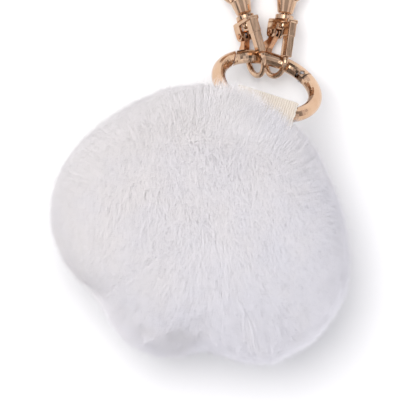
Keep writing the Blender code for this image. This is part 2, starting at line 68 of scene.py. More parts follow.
# The paw's skin, under the pile
SKIN_INSET = 0.0040           # from the CAD panels' outer face
REACH_RAYS = 72               # directions that the paw's reach is read in
REACH_LEVEL = 0.0003          # the height above the seam that it is read at
NOTCH_HALF = 27               # degrees either side of the tape that aren't read
DOME_POWER = 0.86             # below 1 the paw is squarer than an ellipse
REST_SHARE = 0.42             # of the paw's reach, flat on the floor
SKIN_AROUND = 120
SKIN_UP = 26
CLEFTS = ((271, 11, 0.0026), (216, 9, 0.0010))   # direction, width in degrees, depth
PUFF_PRESSURE = 4.0
PUFF_STEPS = 20
PUFF_CAP = 0.0012             # the furthest that puffing moves a point
HELD_DEPTH = 0.0006           # the skin is held this far up from where it rests
SKIN_FLOOR = 0.0006           # the lowest that the skin may hang

# Pile
STRANDS = 240000
STRAND_RADIUS = 0.000033
STRAND_TAPER = (1.0, 0.85)    # its thickness at each ring, as a share
STRAND_ROUND = 0.10           # how much its own roundness shows in its shading
CROSSWISE = (0.31, 0.17, 0.93)    # a direction that hardly any strand runs in
POINTS = 3                    # along a strand, its tip among them
PIECE_STRANDS = 19500         # the most strands in one piece
FINE_CLUMPS = 40000           # guides that neighbours are drawn towards a little
TUFTS = 3600                  # and a wider set, which makes the tufts
RISE_CURVE = 1.9              # a strand rises early and leans late
LEAN_CURVE = 1.3
PULL_CURVE = 1.4
RISE = 0.0042                 # how far a strand stands up from the skin
LEAN = 0.0052                 # how far its tip lies over
LOWER_FROM = -0.026           # below this y the pile is the long pile of the toes,
FAN_TO = 0.010                # above this one it is combed straight down,
LONG_TO = 0.004               # and above this one it has its plain length
GUARD_SHARE = 0.07            # of the flanks' strands, which stand out as guard hairs
GUARD_LENGTH = (1.15, 1.42)
PALM_CENTRE = (0.0066, 0.010, 0.0)    # the pile fans out from here
SOFTER = 0.5                  # how much the pile is shaded like a plain dome
FLOOR_GAP = 0.00025           # strands stay this far above the floor,
FLOOR_SPREAD = 0.0006         # and up to this much more
WIRE_GAP = 0.0001             # and this far from the wire and the tape

# Tape, in metres from its root: along the seam, and circles (outward, up, radius)
TAPE_SPAN = (-0.008, 0.0106)
TAPE_REACH = 0.0106           # the long pile over the tape ends about here
TAPE_SPINE = ((0.0, 0.0, 0.0010), (0.0051, 0.0040, 0.00335),
              (0.0051 + 0.0052 * math.cos(math.radians(56)),
               0.0040 - 0.0052 * math.sin(math.radians(56)), 0.00335))
TAPE_MIDDLE = 0.00045         # from the tape's outer face to its middle
BESIDE_MIDDLE = 0.001         # that pile's middle along the seam,
BESIDE_HALF = 0.019           # half its length along it,
BESIDE_OUT = -0.0075          # how far inward it begins,
BESIDE_UP = 0.0105            # and how far it reaches above and below the seam
OUTLINE_STEPS = 1440
TAPE_ROWS = 72
TAPE_RIBS = 27
RIB_COLUMNS = 5
TAPE_HALF = 0.00022           # half the tape's thickness between its ribs
RIB_HEIGHT = 0.00016

# Ring
RING_RADIUS = 0.015
WIRE_RADIUS = 0.0021
LATCH_ANGLE = 141.0
GATE_PIN_ANGLE = 50.0
GATE_PIN_REACH = 0.014
SEAT_RADIUS = 0.00165
SEAT_SIDES = 16
SEAT_STEPS = 12
SEAT_SPAN = 30                # degrees of the ring
SEAT_FACES = ((0.00009, -1), (0.00033, 1))    # distance along the latch, and facing

# Finishes: base colour, worn colour, roughness
GOLD = ((0.68, 0.47, 0.315), (0.59, 0.375, 0.235), 0.06)
COPPER = ((0.66, 0.37, 0.21), (0.58, 0.30, 0.16), 0.11)

FLOOR_HALF = 2.0
FLOOR_LEVEL = -0.0002

# Lights: name, place, size, power, seen in reflections, lights matt surfaces
LIGHT_COLOUR = (1.0, 0.985, 0.965)
LIGHTS = (("key", (-0.20, 0.24, 1.0), 0.85, 9.7, False, True),
          ("glint", (-0.32, 0.34, 1.0), 0.50, 1.6, True, False),
          ("fill", (0.95, -0.25, 0.35), 0.8, 2.4, False, True),
          ("front", (-0.10, -1.0, 0.20), 0.8, 1.7, False, True))
# The room's grey levels, from straight down (0) to straight up (1)
ROOM = ((0.0, 0.75), (0.51, 0.75), (0.53, 0.95), (0.57, 0.95), (0.60, 0.20), (0.63, 0.20),
        (0.66, 0.90), (0.71, 0.90), (0.74, 0.12), (0.80, 0.10), (0.83, 0.45), (0.86, 1.05),
        (0.91, 1.05), (0.94, 0.45), (0.97, 0.45), (1.0, 0.60))
ROOM_BLUE = 1.08

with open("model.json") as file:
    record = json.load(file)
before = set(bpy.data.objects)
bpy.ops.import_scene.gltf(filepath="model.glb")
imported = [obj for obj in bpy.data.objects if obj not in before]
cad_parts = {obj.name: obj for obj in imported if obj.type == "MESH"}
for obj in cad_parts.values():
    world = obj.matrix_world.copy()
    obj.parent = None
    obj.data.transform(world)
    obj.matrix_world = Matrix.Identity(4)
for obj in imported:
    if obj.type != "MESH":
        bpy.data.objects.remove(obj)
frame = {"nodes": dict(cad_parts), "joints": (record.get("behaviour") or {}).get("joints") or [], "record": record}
cad_low, cad_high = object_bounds()
rng = np.random.default_rng(SEED)

tape_joint = next(j for j in frame["joints"] if j["name"] == "tape_flex")
ring_joint = next(j for j in frame["joints"] if j["name"] == "ring_turn")
ROOT = np.array(tape_joint["pos_m"])
SEAM_LINE = np.array(tape_joint["axis"])
OUTWARD = np.array([-SEAM_LINE[1], SEAM_LINE[0], 0.0])
RING_CENTRE = np.array(ring_joint["pos_m"])
RING_AXIS = np.array(ring_joint["axis"])


# ------------------------------------------------------------------ node helpers

def new_material(name):
    """A node material, with its nodes and links."""
    result = bpy.data.materials.new(name)
    result.use_nodes = True
    return result, result.node_tree.nodes, result.node_tree.links


def add_node(nodes, kind, **values):
    """A new node with its properties set."""
    result = nodes.new(kind)
    for key, value in values.items():
        setattr(result, key, value)
    return result


def ramp(nodes, stops):
    """A colour ramp from (place, colour) pairs."""
    result = nodes.new("ShaderNodeValToRGB")
    elements = result.color_ramp.elements
    while len(elements) < len(stops):
        elements.new(0.5)
    for element, (place, colour) in zip(elements, stops):
        element.position = place
        element.color = (*colour, 1.0)
    return result


def noise(nodes, links, scale, detail=3.0, roughness=0.5, stretch=None):
    """Noise over the object's own coordinates, in features per metre."""
    place = nodes.new("ShaderNodeTexCoord")
    result = nodes.new("ShaderNodeTexNoise")
    result.inputs["Scale"].default_value = scale
    result.inputs["Detail"].default_value = detail
    result.inputs["Roughness"].default_value = roughness
    if stretch:
        mapping = nodes.new("ShaderNodeMapping")
        mapping.inputs["Scale"].default_value = stretch
        links.new(place.outputs["Object"], mapping.inputs["Vector"])
        links.new(mapping.outputs["Vector"], result.inputs["Vector"])
    else:
        links.new(place.outputs["Object"], result.inputs["Vector"])
    return result


# ------------------------------------------------------------------ materials

def fur_material():
    """White pile: lighter at the tips, cooler in patches, and cooler and a little darker towards the lower right
    as painted shade.
    """
    result, nodes, links = new_material("fur")
    shader = nodes["Principled BSDF"]
    along = add_node(nodes, "ShaderNodeAttribute", attribute_name="tone")
    tint = ramp(nodes, [(0.0, (0.92, 0.905, 0.92)), (0.35, (0.935, 0.92, 0.925)),
                        (1.0, (0.95, 0.933, 0.933))])
    links.new(along.outputs["Fac"], tint.inputs["Fac"])
    patches = noise(nodes, links, 90.0, 2.0)
    place = nodes.new("ShaderNodeTexCoord")
    # painted shade: this gradient grows towards the lower right, the side away from the key light
    across = add_node(nodes, "ShaderNodeVectorMath", operation="DOT_PRODUCT")
    across.inputs[1].default_value = (9.0, -9.0, 0.0)
    links.new(place.outputs["Object"], across.inputs[0])
    blend = add_node(nodes, "ShaderNodeMath", operation="ADD")
    links.new(across.outputs["Value"], blend.inputs[0])
    links.new(patches.outputs["Fac"], blend.inputs[1])
    # painted shade on the lower-right side, mixed with random cooler patches
    shade_and_patch_tint = ramp(nodes, [(0.15, (1.0, 0.985, 0.98)), (0.95, (0.935, 0.94, 0.985))])
    links.new(blend.outputs["Value"], shade_and_patch_tint.inputs["Fac"])
    mix = add_node(nodes, "ShaderNodeMix", data_type="RGBA", blend_type="MULTIPLY")
    mix.inputs["Factor"].default_value = 1.0
    links.new(tint.outputs["Color"], mix.inputs["A"])
    links.new(shade_and_patch_tint.outputs["Color"], mix.inputs["B"])
    links.new(mix.outputs["Result"], shader.inputs["Base Color"])
    shader.inputs["Roughness"].default_value = 0.75
    shader.inputs["Specular IOR Level"].default_value = 0.06
    shader.inputs["Sheen Weight"].default_value = 0.15
    shader.inputs["Sheen Roughness"].default_value = 0.6
    return result


def backing_material():
    """The underfur close to the cloth, seen only between strands."""
    result, nodes, links = new_material("underfur")
    shader = nodes["Principled BSDF"]
    fine = noise(nodes, links, 2600.0, 4.0, 0.6)
    tint = ramp(nodes, [(0.3, (0.78, 0.765, 0.78)), (0.7, (0.90, 0.885, 0.895))])
    links.new(fine.outputs["Fac"], tint.inputs["Fac"])
    links.new(tint.outputs["Color"], shader.inputs["Base Color"])
    shader.inputs["Roughness"].default_value = 0.95
    bump = nodes.new("ShaderNodeBump")
    bump.inputs["Strength"].default_value = 0.6
    bump.inputs["Distance"].default_value = 0.0004
    links.new(fine.outputs["Fac"], bump.inputs["Height"])
    links.new(bump.outputs["Normal"], shader.inputs["Normal"])
    return result


def polish_lines(nodes, links, centre, axis):
    """Fine lines left by polishing round an axis: noise over the height and reach from it."""
    place = nodes.new("ShaderNodeTexCoord")
    local = add_node(nodes, "ShaderNodeVectorMath", operation="SUBTRACT")
    local.inputs[1].default_value = centre
    links.new(place.outputs["Object"], local.inputs[0])
    height = add_node(nodes, "ShaderNodeVectorMath", operation="DOT_PRODUCT")
    height.inputs[1].default_value = axis
    links.new(local.outputs["Vector"], height.inputs[0])
    reach = add_node(nodes, "ShaderNodeVectorMath", operation="LENGTH")
    links.new(local.outputs["Vector"], reach.inputs[0])
    pair = nodes.new("ShaderNodeCombineXYZ")
    links.new(height.outputs["Value"], pair.inputs["X"])
    links.new(reach.outputs["Value"], pair.inputs["Y"])
    result = nodes.new("ShaderNodeTexNoise")
    result.inputs["Scale"].default_value = 1500.0
    result.inputs["Detail"].default_value = 3.0
    links.new(pair.outputs["Vector"], result.inputs["Vector"])
    return result


def gold_material(name, colour, worn, roughness, turned=None):
    """Plated metal with wear and smears, and with polish lines where it was turned."""
    result, nodes, links = new_material(name)
    shader = nodes["Principled BSDF"]
    shader.inputs["Metallic"].default_value = 1.0
    cloud = noise(nodes, links, 240.0, 4.0, 0.55)
    tint = ramp(nodes, [(0.35, colour), (0.75, worn)])
    links.new(cloud.outputs["Fac"], tint.inputs["Fac"])
    links.new(tint.outputs["Color"], shader.inputs["Base Color"])
    smear = noise(nodes, links, 900.0, 5.0, 0.6, (1.0, 1.0, 0.35))
    spread = add_node(nodes, "ShaderNodeMapRange")
    spread.inputs["From Min"].default_value = 0.3
    spread.inputs["From Max"].default_value = 0.75
    spread.inputs["To Min"].default_value = roughness
    spread.inputs["To Max"].default_value = roughness + 0.12
    links.new(smear.outputs["Fac"], spread.inputs["Value"])
    links.new(spread.outputs["Result"], shader.inputs["Roughness"])
    if turned:
        ripple = polish_lines(nodes, links, *turned)
    else:
        ripple = noise(nodes, links, 900.0, 2.0, 0.5, (1.0, 0.15, 1.0))
    bump = nodes.new("ShaderNodeBump")
    bump.inputs["Strength"].default_value = 0.22 if turned else 0.12
    bump.inputs["Distance"].default_value = 0.0002
    links.new(ripple.outputs["Fac"], bump.inputs["Height"])
    links.new(bump.outputs["Normal"], shader.inputs["Normal"])
    return result


def steel_material():
    """Plain spring wire."""
    result, nodes, links = new_material("spring_steel")
    shader = nodes["Principled BSDF"]
    shader.inputs["Metallic"].default_value = 1.0
    grain = noise(nodes, links, 1500.0, 4.0, 0.6)
    tint = ramp(nodes, [(0.3, (0.50, 0.50, 0.51)), (0.7, (0.66, 0.66, 0.67))])
    links.new(grain.outputs["Fac"], tint.inputs["Fac"])
    links.new(tint.outputs["Color"], shader.inputs["Base Color"])
    shader.inputs["Roughness"].default_value = 0.32
    return result


def cotton_material():
    """Woven tape: its ribs are in the mesh, its fine fuzz is here, and the grooves between the ribs are darker as
    painted shade.
    """
    result, nodes, links = new_material("cream_cotton")
    shader = nodes["Principled BSDF"]
    rib_groove_shade = add_node(nodes, "ShaderNodeAttribute", attribute_name="rib_groove_shade")
    fuzz = noise(nodes, links, 3500.0, 4.0, 0.6)
    # painted shade: the rib tone darkens the grooves between the ribs
    add = add_node(nodes, "ShaderNodeMath", operation="MULTIPLY_ADD")
    add.inputs[1].default_value = 0.55
    links.new(fuzz.outputs["Fac"], add.inputs[0])
    links.new(rib_groove_shade.outputs["Fac"], add.inputs[2])
    tint = ramp(nodes, [(0.25, (0.34, 0.27, 0.20)), (0.65, (0.58, 0.50, 0.41)),
                        (1.0, (0.68, 0.61, 0.52))])
    links.new(add.outputs["Value"], tint.inputs["Fac"])
    links.new(tint.outputs["Color"], shader.inputs["Base Color"])
    shader.inputs["Roughness"].default_value = 0.9
    shader.inputs["Sheen Weight"].default_value = 0.3
    bump = nodes.new("ShaderNodeBump")
    bump.inputs["Strength"].default_value = 0.5
    bump.inputs["Distance"].default_value = 0.0001
    links.new(fuzz.outputs["Fac"], bump.inputs["Height"])
    links.new(bump.outputs["Normal"], shader.inputs["Normal"])
    return result


def paint(object_, finish):
    """Give an object one material, in place of any it has."""
    object_.data.materials.clear()
    object_.data.materials.append(finish)


# ------------------------------------------------------------------ the paw's form

def read_reach():
    """The paw's reach in each direction, cast on the front panel's rim just above the seam.

    The rays that meet the tape's notch are filled in from their neighbours.
    """
    node = frame["nodes"]["front_fur_panel"]
    tree = BVHTree.FromPolygons([v.co for v in node.data.vertices],
                                [p.vertices[:] for p in node.data.polygons])
    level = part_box("front_fur_panel")[0].z + REACH_LEVEL
    tape = (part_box("tape_loop")[0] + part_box("tape_loop")[1]) / 2
    notch = math.atan2(tape.y, tape.x)
    angles, reaches = [], []
    for index in range(REACH_RAYS):
        angle = 2 * math.pi * index / REACH_RAYS
        away = (angle - notch + math.pi) % (2 * math.pi) - math.pi
        if abs(away) < math.radians(NOTCH_HALF):
            continue
        out = Vector((math.cos(angle), math.sin(angle), 0))
        hit = tree.ray_cast(out * 0.08 + Vector((0, 0, level)), -out)[0]
        angles.append(angle)
        reaches.append(math.hypot(hit.x, hit.y))
    return np.array(angles), np.array(reaches)


REACH_ANGLES, REACHES = read_reach()
SEAM = (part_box("front_fur_panel")[0].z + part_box("back_fur_panel")[1].z) / 2
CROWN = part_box("front_fur_panel")[1].z


def reach_at(angle):
    """How far the paw reaches from its middle in a direction."""
    return np.interp(angle, REACH_ANGLES, REACHES, period=2 * math.pi)


def cleft(angle, centre, width):
    """How deep in the groove between two toes a direction is, 0 to 1."""
    away = (angle - math.radians(centre) + math.pi) % (2 * math.pi) - math.pi
    return np.exp(-(away / math.radians(width)) ** 2)


def paw_point(angle, rise, inset):
    """Points at a direction and an elevation from -90 to 90 degrees, inset from the fur's face."""
    upper = rise >= 0
    cosine = np.cos(rise) ** DOME_POWER
    sine = np.abs(np.sin(rise)) ** DOME_POWER
    share = np.where(upper, cosine, REST_SHARE + (1 - REST_SHARE) * cosine)
    toes = sum(depth * cleft(angle, centre, width) for centre, width, depth in CLEFTS)
    toes = toes * np.clip((share - 0.62) / 0.25, 0, 1) * np.clip(np.sin(rise) / 0.4, 0.1, 1)
    radius = (reach_at(angle) - inset - toes) * share
    high = SEAM + (CROWN - SEAM - inset) * sine
    low = SEAM - (SEAM - inset) * sine
    z = np.where(upper, high - 0.45 * toes, low + 0.35 * toes)
    return np.stack([radius * np.cos(angle), radius * np.sin(angle), z], axis=-1)


def skin_mesh():
    """The sewn cloth under the pile, as a closed mesh."""
    angles = np.linspace(0, 2 * math.pi, SKIN_AROUND, endpoint=False)
    rises = np.linspace(-math.pi / 2, math.pi / 2, 2 * SKIN_UP + 1)[:-1]
    grid = [paw_point(angles, np.full_like(angles, rise), SKIN_INSET) for rise in rises]
    mesh_data = bmesh.new()
    rings = [[mesh_data.verts.new(p) for p in ring] for ring in grid]
    crown = mesh_data.verts.new(paw_point(np.zeros(1), np.full(1, math.pi / 2), SKIN_INSET)[0])
    foot = mesh_data.verts.new((0, 0, grid[0][0][2]))
    for low, high in zip(rings, rings[1:]):
        for index in range(SKIN_AROUND):
            after = (index + 1) % SKIN_AROUND
            mesh_data.faces.new((low[index], low[after], high[after], high[index]))
    for index in range(SKIN_AROUND):
        after = (index + 1) % SKIN_AROUND
        mesh_data.faces.new((rings[-1][index], rings[-1][after], crown))
        mesh_data.faces.new((rings[0][after], rings[0][index], foot))
    bmesh.ops.recalc_face_normals(mesh_data, faces=mesh_data.faces)
    mesh = bpy.data.meshes.new("paw_skin")
    mesh_data.to_mesh(mesh)
    mesh_data.free()
    mesh.shade_smooth()
    result = bpy.data.objects.new("paw_skin", mesh)
    bpy.context.scene.collection.objects.link(result)
    return result


def puff(skin):
    """Let the stuffing's pressure fill the sewn skin, held where it rests and at the clefts."""
    scene = bpy.context.scene
    start = np.array([v.co for v in skin.data.vertices])
    angle = np.arctan2(start[:, 1], start[:, 0])
    held = np.maximum.reduce([cleft(angle, centre, 0.65 * width)
                              for centre, width, _ in CLEFTS])
    held = np.where(start[:, 2] < start[:, 2].min() + HELD_DEPTH, 1.0, 0.8 * held)
    group = skin.vertex_groups.new(name="held")
    for index, weight in enumerate(held):
        group.add([index], float(weight), "REPLACE")
    cloth = skin.modifiers.new("puff", "CLOTH")
    cloth.settings.quality = 6
    cloth.settings.mass = 0.15
    cloth.settings.use_pressure = True
    cloth.settings.uniform_pressure_force = PUFF_PRESSURE
    cloth.settings.vertex_group_mass = "held"
    cloth.settings.effector_weights.gravity = 0.0
    cloth.collision_settings.use_collision = False
    for step in range(1, PUFF_STEPS + 1):
        scene.frame_set(step)
    shaped = skin.evaluated_get(bpy.context.evaluated_depsgraph_get()).data
    end = np.array([v.co for v in shaped.vertices])
    skin.modifiers.remove(cloth)
    skin.vertex_groups.remove(group)
    scene.frame_set(1)
    move = end - start
    size = np.linalg.norm(move, axis=1, keepdims=True)
    move *= np.minimum(1, PUFF_CAP / np.maximum(size, 1e-9))
    places = start + move
    places[:, 2] = np.maximum(places[:, 2], SKIN_FLOOR)
    skin.data.vertices.foreach_set("co", places.reshape(-1).astype(np.float32))
    skin.data.update()


# ------------------------------------------------------------------ room for tape and wire

def in_tape_frame(points):
    """Along the seam, outward and up from the tape's root."""
    local = points - ROOT
    return np.stack([local @ SEAM_LINE, local @ OUTWARD, local[..., 2]], axis=-1)


def in_tape(points, clearance):
    """True inside the tape's loop, which is the hull of three circles along its span."""
    local = in_tape_frame(points)
    inside = local[..., 0] > TAPE_SPAN[0] - clearance
    inside &= local[..., 0] < TAPE_SPAN[1] + clearance
    support = np.full(local.shape[:-1], -1.0)
    for turn in np.linspace(0, 2 * math.pi, 48, endpoint=False):
        out = (math.cos(turn), math.sin(turn))
        reach = max(c[0] * out[0] + c[1] * out[1] + c[2] for c in TAPE_SPINE)
        support = np.maximum(support, local[..., 1] * out[0] + local[..., 2] * out[1] - reach)
    return inside & (support < clearance)


def near_wire(points, clearance):
    """True inside the ring's wire."""
    local = points - RING_CENTRE
    height = local @ RING_AXIS
    flat = np.linalg.norm(local - height[..., None] * RING_AXIS, axis=-1)
    return np.hypot(flat - RING_RADIUS, height) < WIRE_RADIUS + clearance


# ------------------------------------------------------------------ fur

def smooth_step(value, low, high):
    """0 below low and 1 above high, with a smooth rise between."""
    share = np.clip((value - low) / (high - low), 0, 1)
    return share * share * (3 - 2 * share)


def read_places(mesh):
    """A mesh's points as an array."""
    places = np.zeros(len(mesh.vertices) * 3)
    mesh.vertices.foreach_get("co", places)
    return places.reshape(-1, 3)


def sample_skin(mesh, before, count):
    """Even random points on a mesh, with smooth normals.

    They are drawn by the areas before puffing, so that the draw is the same every time.
    """
    mesh.calc_loop_triangles()
    corners = np.zeros(len(mesh.loop_triangles) * 3, np.int64)
    mesh.loop_triangles.foreach_get("vertices", corners)
    corners = corners.reshape(-1, 3)
    places = read_places(mesh)
    normals = np.zeros(len(mesh.vertices) * 3)
    mesh.vertices.foreach_get("normal", normals)
    normals = normals.reshape(-1, 3)
    a, b, c = (before[corners[:, i]] for i in range(3))
    areas = np.linalg.norm(np.cross(b - a, c - a), axis=1)
    picked = rng.choice(len(corners), count, p=areas / areas.sum())
    u, v = rng.random((2, count))
    over = u + v > 1
    u[over], v[over] = 1 - u[over], 1 - v[over]
    weights = np.stack([1 - u - v, u, v], axis=1)
    roots = (places[corners[picked]] * weights[..., None]).sum(axis=1)
    outs = (normals[corners[picked]] * weights[..., None]).sum(axis=1)
    return roots, outs / np.linalg.norm(outs, axis=1, keepdims=True)


def wander(points, scale, seed):
    """Smooth random vectors over space, as a sum of waves; scale sets how short they are."""
    local = np.random.default_rng(seed)
    result = np.zeros_like(points)
    for _ in range(5):
        wave = local.normal(size=(3, 3)) * scale
        phase = local.random(3) * 2 * math.pi
        result += np.sin(points @ wave + phase)
    return result / 2.2


def over_tape(roots):
    """How much a strand belongs to the long pile that falls over the tape, 0 to 1."""
    along, out, up = in_tape_frame(roots).T
    return (np.exp(-((along + 0.002) / 0.0105) ** 4) * np.exp(-((out + 0.001) / 0.009) ** 2)
            * smooth_step(up, 0.002, 0.006))


def comb(roots, outs):
    """Which way the pile lies, shorter where it stands up.

    It runs down the front, fans out below the palm, and turns outward at the rim.
    """
    angle = np.arctan2(roots[:, 1], roots[:, 0])
    share = np.hypot(roots[:, 0], roots[:, 1]) / (reach_at(angle) - SKIN_INSET)
    spread = roots - np.array(PALM_CENTRE)
    spread[:, 2] = 0
    spread /= np.maximum(np.linalg.norm(spread, axis=1, keepdims=True), 0.012)
    away = np.stack([np.cos(angle), np.sin(angle), np.zeros_like(angle)], axis=1)
    lower = (1 - smooth_step(roots[:, 1], LOWER_FROM, FAN_TO))[:, None]
    rim = smooth_step(share, 0.55, 1.05)
    flow = (1 - lower) * np.array([0, -0.9, 0]) + lower * spread
    outward = rng.random(len(roots)) < 0.7 * rim
    flow[outward] = away[outward]
    side = 1 - smooth_step(np.abs(outs[:, 2]), 0.0, 0.85)
    flow += 0.12 * wander(roots, 110.0, 11)
    flow += (0.06 + 0.07 * lower) * (1 - 0.6 * side)[:, None] * wander(roots, 420.0, 12)
    flow[:, 2] -= 0.35 * side
    flow -= (flow * outs).sum(axis=1, keepdims=True) * outs
    over = rng.random(len(roots)) < over_tape(roots)
    flow[over] = OUTWARD - np.array([0, 0, 0.42])
    size = np.linalg.norm(flow, axis=1, keepdims=True)
    return flow * np.minimum(1, 1 / (size + 1e-9)), over


def strand_paths(roots, outs, flow, rise_by, lean_by):
    """Points along each strand: up from the skin, then over in the combed direction."""
    steps = np.linspace(0, 1, POINTS)[None, :, None]
    rise = 1 - (1 - steps) ** RISE_CURVE
    lean = steps ** LEAN_CURVE
    up = outs[:, None] * rise_by[:, None, None] * rise
    return roots[:, None] + up + flow[:, None] * lean_by[:, None, None] * lean


def gather(paths, roots, count, strength):
    """Draw each strand towards the nearest of a few guides, more at the tip."""
    guides = rng.choice(len(paths), count, replace=False)
    tree = kdtree.KDTree(count)
    for index, guide in enumerate(guides):
        tree.insert(roots[guide], index)
    tree.balance()
    nearest = guides[[tree.find(root)[1] for root in roots]]
    steps = np.linspace(0, 1, POINTS)[None, :, None] ** PULL_CURVE
    pull = np.clip(strength, 0, 0.9)[:, None, None] * steps
    return paths + (paths[nearest] - paths) * pull


def grow_fur(skin, before, count):
    """The paths of all strands, with the direction that each one is shaded to face.

    The pile is longer and more tufted below the palm, and short under the paw. A few
    guard hairs stand out of it. Strands that would run through the tape or the wire go.
    """
    roots, outs = sample_skin(skin.data, before, count)
    lower = 1 - smooth_step(roots[:, 1], LOWER_FROM, LONG_TO)
    facing = smooth_step(outs[:, 2], 0.0, 0.85)
    under = 1 - smooth_step(outs[:, 2], -0.95, -0.55)
    flow, over = comb(roots, outs)
    stray = (0.26 - 0.12 * lower)[:, None] * rng.normal(size=roots.shape)
    flow += stray - (stray * outs).sum(axis=1, keepdims=True) * outs
    along, out, _ = in_tape_frame(roots).T
    uneven = 0.03 + 0.05 * lower * facing
    tufts = 1 + uneven * wander(roots, 700.0, 13)[:, 0]
    tufts += (uneven + 0.05 * (1 - facing)) * wander(roots, 1500.0, 14)[:, 0]
    rise_by = RISE * rng.uniform(0.90, 1.04, len(roots)) * (1.00 + 0.14 * lower) * tufts
    rise_by *= 1 - 0.7 * under
    guard = rng.random(len(roots)) < GUARD_SHARE * (1 - facing)
    rise_by *= np.where(guard, rng.uniform(*GUARD_LENGTH, len(roots)), 1.0)
    lean_by = (LEAN + 0.0020 * lower) * rng.uniform(0.9, 1.1, len(roots)) * tufts
    edge = TAPE_REACH - 0.0044 * smooth_step(along, -0.003, 0.0005)
    longer = np.clip((edge - 0.0025 - out) / 0.92, 0.004, 0.0125)
    longer *= rng.uniform(0.75, 1.02, len(roots))
    lean_by = np.where(over, longer, lean_by)
    paths = strand_paths(roots, outs, flow, rise_by, lean_by)
    flank = (1 - facing) * (1 - lower)
    paths = gather(paths, roots, FINE_CLUMPS, 0.02 + 0.06 * lower + 0.10 * flank)
    drawn = 0.24 * lower * (0.4 + 0.6 * facing) + 0.16 * flank
    paths = gather(paths, roots, TUFTS, drawn + 0.03 * rng.normal(size=len(roots)))
    floor = FLOOR_GAP + FLOOR_SPREAD * rng.random((len(paths), 1))
    paths[..., 2] = np.maximum(paths[..., 2], floor)
    blocked = (near_wire(paths, WIRE_GAP) | in_tape(paths, WIRE_GAP)).any(axis=1)
    half = (np.array(cad_high) - np.array(cad_low))[[0, 0, 2]] / 2
    dome = (roots - np.array([0, 0, SEAM])) / half ** 2
    dome /= np.linalg.norm(dome, axis=1, keepdims=True)
    return paths[~blocked], (outs + SOFTER * dome)[~blocked]


def strand_mesh(name, paths, outs, tones):
    """Closed three-sided tapered strands in one mesh, shaded much like the skin's own face.

    Each strand has a small cell of its own in the UV layer.
    """
    count = len(paths)
    along = np.diff(paths, axis=1)
    along = np.concatenate([along, along[:, -1:]], axis=1)
    along /= np.linalg.norm(along, axis=-1, keepdims=True) + 1e-12
    side = np.cross(along, CROSSWISE)
    side /= np.linalg.norm(side, axis=-1, keepdims=True) + 1e-12
    other = np.cross(along, side)
    body = POINTS - 1
    taper = np.array(STRAND_TAPER)[None, :, None, None] * STRAND_RADIUS
    turns = np.arange(3) * 2 * math.pi / 3
    offsets = (side[:, :body, None] * np.cos(turns)[None, None, :, None]
               + other[:, :body, None] * np.sin(turns)[None, None, :, None]) * taper
    rings = paths[:, :body, None] + offsets
    points = np.concatenate([rings.reshape(count, -1, 3), paths[:, -1:]], axis=1)
    per = body * 3 + 1
    faces = []
    for level in range(body - 1):
        for corner in range(3):
            after = (corner + 1) % 3
            low, high = level * 3, level * 3 + 3
            faces += [(low + corner, low + after, high + after),
                      (low + corner, high + after, high + corner)]
    last = (body - 1) * 3
    faces += [(last + corner, last + (corner + 1) % 3, per - 1) for corner in range(3)]
    faces.append((2, 1, 0))
    faces = np.array(faces, np.int32)
    every = (faces[None] + (np.arange(count, dtype=np.int32) * per)[:, None, None]).reshape(-1, 3)
    mesh = bpy.data.meshes.new(name)
    mesh.vertices.add(count * per)
    mesh.vertices.foreach_set("co", points.reshape(-1).astype(np.float32))
    mesh.loops.add(len(every) * 3)
    mesh.loops.foreach_set("vertex_index", every.reshape(-1))
    mesh.polygons.add(len(every))
    mesh.polygons.foreach_set("loop_start", np.arange(len(every), dtype=np.int32) * 3)
    mesh.update(calc_edges=True)
    mesh.shade_smooth()
    outs = outs / np.linalg.norm(outs, axis=1, keepdims=True)
    facing = STRAND_ROUND * offsets / STRAND_RADIUS + outs[:, None, None]
    facing = np.concatenate([facing.reshape(count, -1, 3), outs[:, None]], axis=1)
    facing /= np.linalg.norm(facing, axis=-1, keepdims=True)
    layer = mesh.attributes.new("custom_normal", "FLOAT_VECTOR", "POINT")
    layer.data.foreach_set("vector", facing.reshape(-1).astype(np.float32))
    level_of = np.repeat(np.linspace(0, 1, POINTS), [3] * body + [1])
    tone = np.clip(0.1 + level_of[None] * 0.8 + tones[:, None], 0, 1).reshape(-1)
    layer = mesh.attributes.new("tone", "FLOAT", "POINT")
    layer.data.foreach_set("value", tone.astype(np.float32))
    cells = math.ceil(math.sqrt(count))
    column, row = np.arange(count) % cells, np.arange(count) // cells
    spin = np.array([0.15, 0.5, 0.85] * body + [0.5])
    u = (column[:, None] + spin[None]) / cells
    v = (row[:, None] + 0.1 + 0.8 * level_of[None]) / cells
    uv = np.stack([u, v], axis=-1).reshape(-1, 2)[every.reshape(-1)]
    mesh.uv_layers.new(name="OFBake").data.foreach_set("uv", uv.reshape(-1).astype(np.float32))
    result = bpy.data.objects.new(name, mesh)
    bpy.context.scene.collection.objects.link(result)
    return result


def beside_tape(roots):
    """True for the pile round the tape's root, which bends when the tape does."""
    along, out, up = in_tape_frame(roots).T
    return ((np.abs(along - BESIDE_MIDDLE) < BESIDE_HALF) & (out > BESIDE_OUT)
            & (np.abs(up) < BESIDE_UP))


